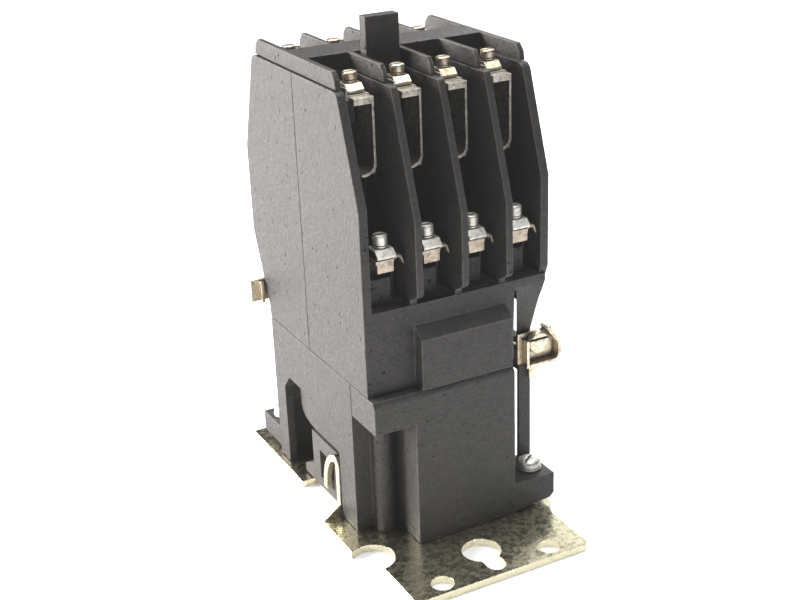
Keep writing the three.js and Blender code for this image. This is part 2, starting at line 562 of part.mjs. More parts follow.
function crossbar() {
  const beam = box([-27, 27], [-5, 5], [BEAM_Z, 74]);
  const seats = box([-4.5, 4.5], [-17.5, 17.5], [BEAM_Z, 67]);
  const web = box([-24, 24], [-4, 4], [73, 131]);
  const fingers = [];
  for (let i = 0; i < POLES; i++) {
    const x = [poleX(i) - 1.6, poleX(i) + 1.6];
    for (const s of [-1, 1]) {
      const y = (r) => (s < 0 ? r : [-r[1], -r[0]]);
      fingers.push(box(x, y([-12.6, -3.9]), [116.8, BRIDGE_Z - GAP]));
      fingers.push(box(x, y([-12.6, -3.9]), [BRIDGE_Z + 1.2 + GAP, 126]));
    }
  }
  const tabX = [poleX(1) - 5.4, poleX(1) + 6.2];
  const arm = box(tabX, [-12.6, -3], [125, 131]);
  const tab = box(tabX, [-12.6, -8.6], [130, TAB_TOP]);
  return join(beam, seats, web, ...fingers, arm, tab);
}

function contactBridge(i) {
  const x = poleX(i);
  const blade = box([x - 5.7, x + 5.7], BRIDGE_Y, [BRIDGE_Z, BRIDGE_Z + 1.2]);
  const buttons = [-1, 1].map((s) =>
    rod(1.3, 1.9, [x + s * 4.3, -9.6, BRIDGE_Z - 0.65], "z", 12));
  return join(blade, ...buttons);
}

// ---------------------------------------------------------------- assembly
add("mounting_plate", mountingPlate(), chromatedSteel);
add("base_front_half", baseHalf("front"), blackMoulding);
add("base_rear_half", baseHalf("rear"), blackMoulding);
add("contact_housing_front", contactHousing("front"), blackMoulding);
add("contact_housing_rear", contactHousing("rear"), blackMoulding);
add("top_cover", topCover(), blackMoulding);
add("magnet_core", magnetCore(), coreSteel);
add("magnet_cradle", magnetCradle(), greyMoulding);
add("coil_bobbin", coilBobbin(), greyMoulding);
add("coil_winding", coilWinding(), coilTape);

const coilPlateFace = BRACKET_Y - BRACKET_SHEET;
add("coil_terminal_front", coilTerminal(), brass);
add("coil_terminal_screw_front", coilTerminalScrew(COIL_TERMINAL, coilPlateFace, 3.85), brass);
add("coil_terminal_rear", halfTurn(rearCoilTerminal()), brass);
const rearPadFace = REAR_BRACKET_Y - BRACKET_SHEET - GAP;
const rearCoilScrew = coilTerminalScrew(REAR_COIL_TERMINAL, rearPadFace, 3);
add("coil_terminal_screw_rear", halfTurn(rearCoilScrew), brass);

for (const [end, turn] of [["front", (b) => b], ["rear", halfTurn]]) {
  add("foot_screw_" + end, turn(footScrew()), platedSteel);
  add("return_spring_" + end, turn(returnSpring()), springSteel);
  for (let i = 0; i < POLES; i++) {
    const x = poleX(i);
    const place = `${end}_${i + 1}`;
    const upper = terminalScrew(x, UPPER_SCREW_Y, UPPER_TAB_Z + 1.5 + GAP, [3.4, 5.8], [-2.8, 2.6]);
    const lower = terminalScrew(x, LOWER_SCREW_Y, LOWER_TAB_Z + 1.2 + GAP, [3, 6.7], [-3.1, 3.1]);
    add(`upper_terminal_${place}`, turn(upperTerminal(i)), brass);
    add(`lower_terminal_${place}`, turn(lowerTerminal(i)), brass);
    add(`upper_screw_${place}`, turn(upper), brass);
    add(`lower_screw_${place}`, turn(lower), platedSteel);
    add(`contact_bridge_${place}`, turn(contactBridge(i)), contactCopper, bodies.moving);
  }
}

add("crossbar", crossbar(), blackMoulding, bodies.moving);
add("armature", armature(), coreSteel, bodies.moving);

export default relay;
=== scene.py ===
import json
import math

import bmesh
import bpy
from mathutils import Matrix, Vector


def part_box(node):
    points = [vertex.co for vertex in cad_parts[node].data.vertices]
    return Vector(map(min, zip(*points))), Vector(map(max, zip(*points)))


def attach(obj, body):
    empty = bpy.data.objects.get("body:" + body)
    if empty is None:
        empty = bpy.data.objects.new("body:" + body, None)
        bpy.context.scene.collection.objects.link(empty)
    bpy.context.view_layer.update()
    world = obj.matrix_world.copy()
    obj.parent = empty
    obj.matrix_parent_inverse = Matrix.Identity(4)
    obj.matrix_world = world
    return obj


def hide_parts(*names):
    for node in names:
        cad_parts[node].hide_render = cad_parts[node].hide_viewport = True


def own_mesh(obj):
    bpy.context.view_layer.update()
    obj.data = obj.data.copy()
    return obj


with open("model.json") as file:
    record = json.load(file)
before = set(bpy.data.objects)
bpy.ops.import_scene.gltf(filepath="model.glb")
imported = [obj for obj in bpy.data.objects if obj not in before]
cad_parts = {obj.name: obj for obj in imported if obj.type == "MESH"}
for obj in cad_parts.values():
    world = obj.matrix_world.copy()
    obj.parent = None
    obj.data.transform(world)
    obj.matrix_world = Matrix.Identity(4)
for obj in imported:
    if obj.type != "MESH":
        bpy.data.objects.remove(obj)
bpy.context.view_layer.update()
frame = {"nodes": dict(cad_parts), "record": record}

MM = 0.001

# ---------------------------------------------------------------- camera, lights and floor
VIEW_YAW = math.radians(-27.31)
VIEW_PITCH = math.radians(22.91)
VIEW_ROLL = math.radians(-2.2)
VIEW_CENTRE = Vector((0, 0, 70)) * MM
VIEW_SHIFT = (1.41 * MM, -2.51 * MM)
VIEW_DISTANCE = 452.5 * MM
LENS_MM = 60.2
WORLD_FRONT = 0.26  # strength of the room's light on the side that the front faces
WORLD_REAR = 1.0
WORLD_CHANGE = (-0.3, 0.75)  # Y of the directions between which that strength changes
BLACK_LEVEL = 0.016  # what black comes out as, in linear light
KEY_TINT = (1, 0.955, 0.95)
FLOOR_REACH = 3.0
FLOOR_DROP = 0.05 * MM
FLOOR_GREY = 0.92
FLOOR_GLOW = 0.25


def link(name, data):
    obj = bpy.data.objects.new(name, data)
    bpy.context.scene.collection.objects.link(obj)
    return obj


def make_camera():
    yaw, pitch, roll = VIEW_YAW, VIEW_PITCH, VIEW_ROLL
    back = Vector((math.sin(yaw) * math.cos(pitch), -math.cos(yaw) * math.cos(pitch), math.sin(pitch)))
    level = Vector((0, 0, 1)).cross(back).normalized()
    steep = back.cross(level)
    right = level * math.cos(roll) + steep * math.sin(roll)
    up = steep * math.cos(roll) - level * math.sin(roll)
    data = bpy.data.cameras.new("view")
    data.lens = LENS_MM
    data.clip_start = 0.01
    camera = link("view", data)
    place = VIEW_CENTRE + right * VIEW_SHIFT[0] + up * VIEW_SHIFT[1] + back * VIEW_DISTANCE
    camera.matrix_world = Matrix.Translation(place) @ Matrix((right, up, back)).transposed().to_4x4()
    bpy.context.scene.camera = camera


def area_light(name, place, target, size, power, color=(1, 1, 1)):
    """A rectangular light of this size in metres and power in watts, turned to the target."""
    data = bpy.data.lights.new(name, "AREA")
    data.shape = "RECTANGLE"
    data.size, data.size_y = size
    data.energy = power
    data.color = color
    light = link(name, data)
    light.location = place
    light.rotation_euler = (Vector(place) - Vector(target)).to_track_quat("Z", "Y").to_euler()


def make_world():
    """A dark grey room, darkest on the side that the front faces."""
    world = bpy.data.worlds.new("studio")
    world.use_nodes = True
    tree = world.node_tree
    direction = tree.nodes.new("ShaderNodeTexCoord")
    parts = tree.nodes.new("ShaderNodeSeparateXYZ")
    tree.links.new(direction.outputs["Generated"], parts.inputs["Vector"])
    level = remap(tree, parts.outputs["Y"], *WORLD_CHANGE, WORLD_FRONT, WORLD_REAR)
    tree.links.new(level, tree.nodes["Background"].inputs["Strength"])
    bpy.context.scene.world = world


def make_studio():
    """The room, how dark a black comes out, and three soft lights."""
    make_world()
    view = bpy.context.scene.view_settings
    view.view_transform = "Standard"
    view.use_curve_mapping = True
    view.curve_mapping.curves[3].points[0].location = (0, BLACK_LEVEL)
    view.curve_mapping.update()
    area_light("key", (-0.85, 0.62, 0.42), (0, 0, 0.09), size=(0.7, 0.6), power=33, color=KEY_TINT)
    area_light("side", (0.9, 0.75, 0.4), (0, 0, 0.03), size=(0.6, 0.5), power=5)
    area_light("top", (0.1, 0.1, 1.1), (0, 0, 0.1), size=(0.8, 0.8), power=16)


def make_floor():
    mesh = bpy.data.meshes.new("floor")
    corners = [(x * FLOOR_REACH, y * FLOOR_REACH, 0) for x, y in ((-1, -1), (1, -1), (1, 1), (-1, 1))]
    mesh.from_pydata(corners, [], [(0, 1, 2, 3)])
    floor = link("floor", mesh)
    floor.location.z = -FLOOR_DROP
    paper = new_material("floor_paper", Base_Color=(FLOOR_GREY, FLOOR_GREY, FLOOR_GREY, 1), Roughness=0.9,
                         Emission_Color=(1, 1, 1, 1), Emission_Strength=FLOOR_GLOW)[0]
    mesh.materials.append(paper)


# ---------------------------------------------------------------- material building blocks
def new_material(name, **sockets):
    """A material whose Principled shader has these sockets set, an underscore standing for a space."""
    material = bpy.data.materials.new(name)
    material.use_nodes = True
    tree = material.node_tree
    shader = tree.nodes["Principled BSDF"]
    for socket, value in sockets.items():
        shader.inputs[socket.replace("_", " ")].default_value = value
    return material, tree, shader


def place_of(tree, stretch=(1, 1, 1)):
    """The point on the object, with its axes scaled by stretch."""
    coordinate = tree.nodes.new("ShaderNodeTexCoord")
    mapping = tree.nodes.new("ShaderNodeMapping")
    mapping.inputs["Scale"].default_value = stretch
    tree.links.new(coordinate.outputs["Object"], mapping.inputs["Vector"])
    return mapping.outputs["Vector"]


def noise(tree, size_mm, detail=3.0, stretch=(1, 1, 1), roughness=0.55):
    """Noise whose blotches are about size_mm across."""
    node = tree.nodes.new("ShaderNodeTexNoise")
    node.inputs["Scale"].default_value = 1 / (size_mm * MM)
    node.inputs["Detail"].default_value = detail
    node.inputs["Roughness"].default_value = roughness
    tree.links.new(place_of(tree, stretch), node.inputs["Vector"])
    return node.outputs["Fac"]


def spots(tree, spacing_mm, radius):
    """One where a scattered dimple is, falling to zero at its rim; radius is a share of the spacing."""
    node = tree.nodes.new("ShaderNodeTexVoronoi")
    node.inputs["Scale"].default_value = 1 / (spacing_mm * MM)
    tree.links.new(place_of(tree), node.inputs["Vector"])
    return remap(tree, node.outputs["Distance"], 0, radius, 1, 0)


def remap(tree, value, low, high, out_low, out_high):
    """The value moved from the range low to high onto the range out_low to out_high, and held there."""
    node = tree.nodes.new("ShaderNodeMapRange")
    limits = {"From Min": low, "From Max": high, "To Min": out_low, "To Max": out_high}
    for socket, number in limits.items():
        node.inputs[socket].default_value = number
    tree.links.new(value, node.inputs["Value"])
    return node.outputs["Result"]


def ramp(tree, value, stops):
    """Colours at places along value, from (place, (r, g, b)) pairs."""
    node = tree.nodes.new("ShaderNodeValToRGB")
    band = node.color_ramp
    while len(band.elements) < len(stops):
        band.elements.new(0.5)
    for element, (place, color) in zip(band.elements, stops):
        element.position = place
        element.color = (*color, 1)
    tree.links.new(value, node.inputs["Fac"])
    return node.outputs["Color"]


def bump(tree, shader, height, depth_mm, before=None):
    """A bump of this depth on the shader, over an earlier one if there is one."""
    node = tree.nodes.new("ShaderNodeBump")
    node.inputs["Distance"].default_value = depth_mm * MM
    tree.links.new(height, node.inputs["Height"])
    if before:
        tree.links.new(before.outputs["Normal"], node.inputs["Normal"])
    tree.links.new(node.outputs["Normal"], shader.inputs["Normal"])
    return node


def feed(tree, shader, socket, output):
    tree.links.new(output, shader.inputs[socket])


def blend_colors(tree, share, color_a, color_b):
    """color_a or color_b as share goes from 0 to 1; either is a socket or a plain colour."""
    node = tree.nodes.new("ShaderNodeMix")
    node.data_type = "RGBA"
    tree.links.new(share, node.inputs["Factor"])
    for socket, color in ((node.inputs["A"], color_a), (node.inputs["B"], color_b)):
        if isinstance(color, tuple):
            socket.default_value = (*color, 1)
        else:
            tree.links.new(color, socket)
    return node.outputs["Result"]


# ---------------------------------------------------------------- materials
SPECK_GREY = (0.2, 0.2, 0.19)
WARM_TINT = (1.1, 0.92, 0.94)
# painted shade: the brown that metals are darkened to where other surfaces stand close by, and how far that
# reaches
RECESS_SHADE_BROWN = (0.09, 0.065, 0.035)
RECESS_SHADE_REACH = 3 * MM
LOW_BLACK = (0.03, 0.027, 0.024)
LOW_BLACK_EDGE = 0.2 * MM


def moulding(name, dark, light, rough=(0.33, 0.6)):
    """Moulded thermoset: mottled and faintly tinted, with a grained and wavy skin, pimples, pits and a
    few pale specks."""
    material, tree, shader = new_material(name, IOR=1.55)
    mottle = ramp(tree, noise(tree, size_mm=1.5, detail=6, roughness=0.75), [(0.34, dark), (0.66, light)])
    tint = remap(tree, noise(tree, size_mm=4.5, detail=3), 0.42, 0.62, 0, 0.5)
    warm = tuple(a * b for a, b in zip(light, WARM_TINT))
    toned = blend_colors(tree, tint, mottle, warm)
    specks = spots(tree, spacing_mm=7, radius=0.035)
    feed(tree, shader, "Base Color", blend_colors(tree, specks, toned, SPECK_GREY))
    gloss = noise(tree, size_mm=0.9, detail=5, roughness=0.7)
    feed(tree, shader, "Roughness", remap(tree, gloss, 0.32, 0.68, *rough))
    grain = bump(tree, shader, noise(tree, size_mm=1.3, detail=5, roughness=0.7), depth_mm=0.55)
    waves = bump(tree, shader, noise(tree, size_mm=14, detail=2), depth_mm=0.35, before=grain)
    pimples = bump(tree, shader, spots(tree, spacing_mm=4.5, radius=0.14), depth_mm=0.9, before=waves)
    bump(tree, shader, spots(tree, spacing_mm=9, radius=0.06), depth_mm=-0.45, before=pimples)
    return material


def painted_recess_shade(tree, color):
    """Painted shade: the colour, going dark brown where other surfaces stand close by."""
    node = tree.nodes.new("ShaderNodeAmbientOcclusion")
    node.inputs["Distance"].default_value = RECESS_SHADE_REACH
    node.samples = 8
    share = remap(tree, node.outputs["AO"], 0.35, 0.85, 0.85, 0)
    return blend_colors(tree, share, color, RECESS_SHADE_BROWN)


def darkened_below(tree, color, height):
    """The colour, dark below that height in metres."""
    coordinate = tree.nodes.new("ShaderNodeTexCoord")
    parts = tree.nodes.new("ShaderNodeSeparateXYZ")
    tree.links.new(coordinate.outputs["Object"], parts.inputs["Vector"])
    share = remap(tree, parts.outputs["Z"], height, height + LOW_BLACK_EDGE, 1, 0)
    return blend_colors(tree, share, color, LOW_BLACK)


def metal(name, tones, rough, tarnish=None, stain=0.85, blotch_mm=4, grain_depth=0.02, dent_depth=0.12,
          stretch=(1, 1, 1), darken_below=None, shade_recesses=True):
    """Plated or bare metal: tones blotched over the surface, a fine grain, and patches of tarnish, with
    painted shade darkening it to brown where other surfaces stand close by unless that is turned off. Stain
    is how strongly the tarnish shows; a height given in metres makes the colour near-black below it."""
    material, tree, shader = new_material(name, Metallic=1.0)
    stops = [(0.3 + 0.4 * i / (len(tones) - 1), tone) for i, tone in enumerate(tones)]
    color = ramp(tree, noise(tree, size_mm=blotch_mm, detail=5, roughness=0.65), stops)
    patches = remap(tree, noise(tree, size_mm=1.3, detail=5, roughness=0.7), 0.5, 0.66, 0, stain)
    color = blend_colors(tree, patches, color, tarnish or tones[0])
    # painted shade in recesses and between parts
    if shade_recesses:
        color = painted_recess_shade(tree, color)
    if darken_below:
        color = darkened_below(tree, color, darken_below)
    feed(tree, shader, "Base Color", color)
    gloss = noise(tree, size_mm=1.6, detail=5, stretch=stretch)
    feed(tree, shader, "Roughness", remap(tree, gloss, 0.3, 0.7, *rough))
    grain = bump(tree, shader, noise(tree, size_mm=0.5, detail=3, stretch=stretch), grain_depth)
    bump(tree, shader, noise(tree, size_mm=3, detail=2), dent_depth, before=grain)
    return material


MATERIALS = {
    "black_moulding": moulding("black_moulding", (0.012, 0.012, 0.011), (0.044, 0.043, 0.039)),
    "grey_moulding": moulding("grey_moulding", (0.05, 0.05, 0.046), (0.085, 0.083, 0.077), (0.5, 0.65)),
    "chromated_steel": metal("chromated_steel",
                             [(0.60, 0.56, 0.38), (0.80, 0.76, 0.54), (0.76, 0.68, 0.54)], (0.18, 0.36),
                             tarnish=(0.5, 0.46, 0.28), stain=0.14, blotch_mm=1.6, grain_depth=0.008,
                             dent_depth=0.015, shade_recesses=False),
    "brass": metal("brass", [(0.68, 0.56, 0.40), (0.88, 0.80, 0.62), (0.93, 0.88, 0.74)], (0.36, 0.54),
                   tarnish=(0.42, 0.31, 0.20)),
    "plated_steel": metal("plated_steel", [(0.85, 0.84, 0.77), (0.98, 0.97, 0.91)], (0.45, 0.62),
                          tarnish=(0.55, 0.52, 0.44)),
    "core_steel": metal("core_steel", [(0.22, 0.21, 0.19), (0.36, 0.34, 0.31)], (0.3, 0.5),
                        stretch=(1, 12, 1)),
    "spring_steel": metal("spring_steel", [(0.45, 0.44, 0.42), (0.6, 0.59, 0.56)], (0.2, 0.35)),
    "silver_contacts": metal("silver_contacts", [(0.72, 0.52, 0.36), (0.80, 0.64, 0.48)], (0.25, 0.4)),
    "coil_tape": moulding("coil_tape", (0.03, 0.02, 0.012), (0.06, 0.045, 0.03), (0.4, 0.6)),
}
LEAF_CURL_LOW = 122.8 * MM  # below this height the upper terminals are coloured near-black
UPPER_TINNED = metal("upper_tinned_brass", [(0.44, 0.40, 0.34), (0.66, 0.62, 0.54), (0.76, 0.73, 0.64)],
                     (0.36, 0.54), tarnish=(0.20, 0.17, 0.15), blotch_mm=2.5, darken_below=LEAF_CURL_LOW)
LOWER_TINNED = metal("lower_tinned_brass", [(0.40, 0.33, 0.26), (0.58, 0.50, 0.41), (0.70, 0.63, 0.53)],
                     (0.36, 0.54), tarnish=(0.24, 0.18, 0.13), blotch_mm=2.5)
SADDLE_BRASS = metal("saddle_brass", [(0.30, 0.22, 0.13), (0.48, 0.38, 0.25), (0.62, 0.52, 0.36)],
                     (0.38, 0.56), tarnish=(0.20, 0.13, 0.08), blotch_mm=2)
LOWER_SADDLE = metal("lower_saddle", [(0.44, 0.35, 0.19), (0.72, 0.61, 0.38), (0.80, 0.72, 0.50)],
                     (0.38, 0.56), tarnish=(0.24, 0.17, 0.10), blotch_mm=2)
# pale moulding for bevelled edges: partly wear, partly a painted highlight along the edges
PALE_EDGE = moulding("pale_worn_highlit_edge", (0.045, 0.045, 0.041), (0.12, 0.12, 0.11), (0.3, 0.45))


# ---------------------------------------------------------------- mesh building blocks, in millimetres
def skin(bm, rings):
    """Faces between rings of equally many points, with the first and last ring closed."""
    loops = [[bm.verts.new(point) for point in ring] for ring in rings]
    for lower, upper in zip(loops, loops[1:]):
        for i in range(len(lower)):
            j = (i + 1) % len(lower)
            bm.faces.new((lower[i], lower[j], upper[j], upper[i]))
    bm.faces.new(reversed(loops[0]))
    bm.faces.new(loops[-1])


def circle(radius, z, segments=40):
    turns = [2 * math.pi * i / segments for i in range(segments)]
    return [(radius * math.cos(a), radius * math.sin(a), z) for a in turns]


def turned(bm, profile, segments=40):
    """A turned body about Z from (radius, z) pairs that run upwards."""
    skin(bm, [circle(radius, z, segments) for radius, z in profile])


def thread(bm, radius, depth, pitch, z_range, segments=24, steps=6):
    """A threaded shank about Z whose ridge climbs in a true helix."""
    low, high = z_range
    count = round((high - low) / pitch * steps)
    rings = []
    for k in range(count + 1):
        z = low + (high - low) * k / count
        ring = []
        for i in range(segments):
            along = (z / pitch - i / segments) % 1
            r = radius - depth * abs(2 * along - 1)
            angle = 2 * math.pi * i / segments
            ring.append((r * math.cos(angle), r * math.sin(angle), z))
        rings.append(ring)
    skin(bm, rings)


def prism(bm, outline, x_range):
    """An outline of (y, z) points, pushed along X."""
    skin(bm, [[(x, y, z) for y, z in outline] for x in x_range])


def slab(bm, x_range, y_range, z_range):
    low_y, high_y = y_range
    low_z, high_z = z_range
    prism(bm, [(low_y, low_z), (high_y, low_z), (high_y, high_z), (low_y, high_z)], x_range)


def dome(radius, flat, z, height, steps=5):
    """(radius, z) pairs of a rounded shoulder, from the full radius at z in to the flat's radius."""
    pairs = []
    for i in range(steps + 1):
        a = math.pi / 2 * i / steps
        pairs.append((flat + (radius - flat) * math.cos(a), z + height * math.sin(a)))
    return pairs


def to_mesh(name, *builders):
    """One mesh in metres from functions that each add a closed body."""
    bm = bmesh.new()
    for build in builders:
        build(bm)
    bmesh.ops.recalc_face_normals(bm, faces=bm.faces)
    bmesh.ops.scale(bm, vec=(MM, MM, MM), verts=bm.verts)
    mesh = bpy.data.meshes.new(name)
    bm.to_mesh(mesh)
    bm.free()
    return mesh


def carved(name, body, tool):
    """The body mesh with the tool mesh cut out of it."""
    body_object = link(name + "_body", body)
    tool_object = link(name + "_tool", tool)
    cutter = body_object.modifiers.new("slot", "BOOLEAN")
    cutter.operation = "DIFFERENCE"
    cutter.object = tool_object
    graph = bpy.context.evaluated_depsgraph_get()
    result = bpy.data.meshes.new_from_object(body_object.evaluated_get(graph))
    for leftover in (body_object, tool_object):
        bpy.data.objects.remove(leftover)
    return result


def merged(name, *meshes):
    bm = bmesh.new()
    for mesh in meshes:
        bm.from_mesh(mesh)
    mesh = bpy.data.meshes.new(name)
    bm.to_mesh(mesh)
    bm.free()
    return mesh


def soften_edges(obj, width_mm, clamp):
    """Bevels on the sharp edges, with normals to suit them. Returns the bevel."""
    edges = obj.modifiers.new("edges", "BEVEL")
    edges.width = width_mm * MM
    edges.segments = 2
    edges.limit_method = "ANGLE"
    edges.angle_limit = math.radians(40)
    edges.use_clamp_overlap = clamp
    normals = obj.modifiers.new("normals", "WEIGHTED_NORMAL")
    normals.keep_sharp = True
    return edges


def piece(name, mesh, place, slot, body, *nodes, edge_mm=0.1, second=None):
    """An object of that mesh, put in place in the frame, standing for CAD nodes. Faces of material index
    1 take the second material."""
    mesh = mesh.copy()
    mesh.transform(place)
    mesh.materials.clear()
    mesh.materials.append(MATERIALS[slot])
    if second:
        mesh.materials.append(second)
    for polygon in mesh.polygons:
        polygon.use_smooth = True
    obj = link(name, mesh)
    if edge_mm:
        soften_edges(obj, edge_mm, clamp=True)
    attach(obj, body)
    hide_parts(*nodes)
    return obj


# ---------------------------------------------------------------- screws
SLOT = 0.8  # width of a screwdriver slot
THREAD_DEPTH = 0.3
THREAD_PITCH = 0.8
SHEET = 0.75  # thickness of a saddle
TERMINAL_HEAD_RADIUS = 2.25
TERMINAL_NECK = 1.6
HEAD_LOW = 3.5  # underside of a terminal screw's head over its seat, clear of the washer
UPPER_TOP = 5.8  # top of an upper screw's head over its seat
LOWER_TOP = 6.7
SHANK_END = -2.4  # just through the tab
UPPER_SCREW_IN = 2.8  # from the left side of the screw's CAD node to its axis
LOWER_SCREW_IN = 3.1
COIL_HEAD = 2.4  # thickness of a coil terminal screw's head
COIL_SEAT = 1.3  # from the body end of the coil screw's CAD node to the seat of its head
FOOT_TOP = 3.8  # top of a foot screw's head over its seat
FOOT_WASHER = 0.9


def saddle(x_range, rise=2.5, reach=4.2, crown=2.4):
    """Bent clamping strip over the wire, its ends turned down: an arch with a hollow underside."""
    outer = [(-reach, 0), (-reach, 0.8), (-crown, rise), (crown, rise), (reach, 0.8), (reach, 0)]
    inner = [(reach - SHEET, 0), (reach - SHEET, 0.45), (crown - 0.3, rise - SHEET),
             (-crown + 0.3, rise - SHEET), (-reach + SHEET, 0.45), (-reach + SHEET, 0)]
    return lambda bm: prism(bm, outer + inner, x_range)


def lock_washer(radius, z, thickness=0.55, width=0.9):
    """Spring washer: a flat wire bent into a ring whose ends stand a little apart."""
    inner = radius - width

    def build(bm):
        rings = []
        steps = 30
        for i in range(steps + 1):
            angle = math.radians(20 + 320 * i / steps)
            lift = 0.3 * i / steps
            ring = []
            for r, h in ((inner, 0), (radius, 0), (radius, thickness), (inner, thickness)):
                ring.append((r * math.cos(angle), r * math.sin(angle), z + h + lift))
            rings.append(ring)
        skin(bm, rings)
    return build


def slotted_screw(name, radius, head, neck, shank_low, slot_depth, slot_offset=0, crown=(0.55, 0.6)):
    """Head from head[0] to head[1], slotted along X, on a plain neck and a threaded shank. The crown is
    how far its rounded shoulder reaches in and down."""
    inward, down = crown
    shoulder = dome(radius, radius - inward, head[1] - down, down)
    profile = [(neck - 0.3, shank_low + 0.2), (neck, head[0]), (radius - 0.1, head[0]),
               (radius, head[0] + 0.15), *shoulder, (0.3, head[1])]
    upper = to_mesh(name, lambda bm: turned(bm, profile))
    slot_y = (slot_offset - SLOT / 2, slot_offset + SLOT / 2)
    cutter = to_mesh(name, lambda bm: slab(bm, (-9, 9), slot_y, (head[1] - slot_depth, head[1] + 2)))
    shank_range = (shank_low, head[0] - 0.2)
    shank = to_mesh(name, lambda bm: thread(bm, neck, THREAD_DEPTH, THREAD_PITCH, shank_range))
    return merged(name, carved(name, upper, cutter), shank)


def seat_of(node, left, above):
    """Where a terminal screw stands: the axis is left mm in from the node's left side as seen from its
    own end of the relay, and the seat above mm below the node's top."""
    low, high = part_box(node)
    rear = low[1] + high[1] > 0
    x = high[0] - left * MM if rear else low[0] + left * MM
    turn = Matrix.Rotation(math.pi if rear else 0, 4, "Z")
    return Matrix.Translation((x, (low[1] + high[1]) / 2, high[2] - above * MM)) @ turn


def saddle_and_washer(x_range):
    """Both carry the second material."""
    mesh = to_mesh("saddle", saddle(x_range), lock_washer(2.2, 2.55))
    for polygon in mesh.polygons:
        polygon.material_index = 1
    return mesh


def terminal_screws():
    """A screw with its captive saddle and washer on each terminal of each pole."""
    upper = slotted_screw("upper_screw", TERMINAL_HEAD_RADIUS, (HEAD_LOW, UPPER_TOP), TERMINAL_NECK,
                          SHANK_END, slot_depth=0.9)
    upper = merged("upper_screw", upper, saddle_and_washer((-UPPER_SCREW_IN, 2.6)))
    lower = slotted_screw("lower_screw", TERMINAL_HEAD_RADIUS, (HEAD_LOW, LOWER_TOP), TERMINAL_NECK,
                          SHANK_END, slot_depth=1.1)
    lower = merged("lower_screw", lower, saddle_and_washer((-LOWER_SCREW_IN, LOWER_SCREW_IN)))
    for end in ("front", "rear"):
        for pole in range(1, 5):
            node = f"upper_screw_{end}_{pole}"
            piece(f"upper_screw_and_saddle_{end}_{pole}", upper, seat_of(node, UPPER_SCREW_IN, UPPER_TOP),
                  "brass", "frame", node, second=SADDLE_BRASS)
            node = f"lower_screw_{end}_{pole}"
            piece(f"lower_screw_and_saddle_{end}_{pole}", lower, seat_of(node, LOWER_SCREW_IN, LOWER_TOP),
                  "plated_steel", "frame", node, second=LOWER_SADDLE)


def coil_screws():
    """Broad flat heads along Y, the slot a little above the middle."""
    for end, radius, slot_offset in (("front", 3.85, 1.5), ("rear", 3.0, 1.0)):
        node = f"coil_terminal_screw_{end}"
        low, high = (Vector(corner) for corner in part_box(node))
        middle = (low + high) / 2
        tilt = Matrix.Rotation(math.pi / 2, 4, "X")
        turn = Matrix.Rotation(math.pi if end == "rear" else 0, 4, "Z")
        seat_y = high.y - COIL_SEAT * MM if end == "front" else low.y + COIL_SEAT * MM
        mesh = slotted_screw(node, radius, (0, COIL_HEAD), neck=1.5, shank_low=-COIL_SEAT, slot_depth=0.9,
                             slot_offset=slot_offset)
        place = Matrix.Translation((middle.x, seat_y, middle.z)) @ turn @ tilt
        piece(f"coil_screw_{end}", mesh, place, "brass", "frame", node)


def foot_screws():
    """Pan head screws on their washers, slots turned a little."""
    washer_profile = [(2.1, 0), (4.0, 0), (4.1, 0.15), (4.1, FOOT_WASHER - 0.15), (4.0, FOOT_WASHER),
                      (2.1, FOOT_WASHER)]
    turn = Matrix.Rotation(math.radians(35), 4, "Z")
    for end in ("front", "rear"):
        node = f"foot_screw_{end}"
        low, high = (Vector(corner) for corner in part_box(node))
        middle = (low + high) / 2
        head = slotted_screw(node, 3.9, (FOOT_WASHER + 0.1, FOOT_TOP), neck=2.0, shank_low=-12,
                             slot_depth=0.9, crown=(2.4, 1.7))
        washer = to_mesh(node, lambda bm: turned(bm, washer_profile))
        seat = Matrix.Translation((middle.x, middle.y, high.z - FOOT_TOP * MM))
        piece(f"foot_screw_and_washer_{end}", merged(node, head, washer), seat @ turn, "plated_steel",
              "frame", node)


# ---------------------------------------------------------------- inner pieces
SPRING_RADIUS = 2.7  # to the middle of the wire
WIRE = 0.4  # radius of the spring's wire
SPRING_TURNS = 7
STEPS_A_TURN = 28
FLAT_RISE = 0.4  # how far each end turn climbs
LEG_EDGES = (-23, -16, -6, 6, 16, 23)  # X of the sides of the magnet's three legs
CORE_YOKE_TOP = 15  # Z of the core's yoke where it faces the armature
ARMATURE_YOKE_LOW = 53.5
PLATE_COUNT = 26
PLATE_GAP = 0.07
STACK_INSET = 0.4  # from the node's ends to the stack of plates
RIVET_X = (-19.5, -8, 8, 19.5)
RIVET_RADIUS = 1.6
RIVET_INNER = 5  # from the stack's middle to a rivet's inner end
BOBBIN_HALF_X = 8.9  # hole of the winding
BOBBIN_HALF_Y = 10.9
WINDING_ROWS = 61
WINDING_AROUND = 48
WINDING_CORNER = 6


def wire_ring(angle, z, segments=8):
    """Points round the spring's wire where it has turned by angle and is at height z. The wire is drawn
    a little thin, to stay inside its CAD node."""
    drawn = WIRE * 0.85
    ring = []
    for k in range(segments):
        a = 2 * math.pi * k / segments
        r = SPRING_RADIUS - (WIRE - drawn) + drawn * math.cos(a)
        ring.append((r * math.cos(angle), r * math.sin(angle), z + drawn * math.sin(a)))
    return ring


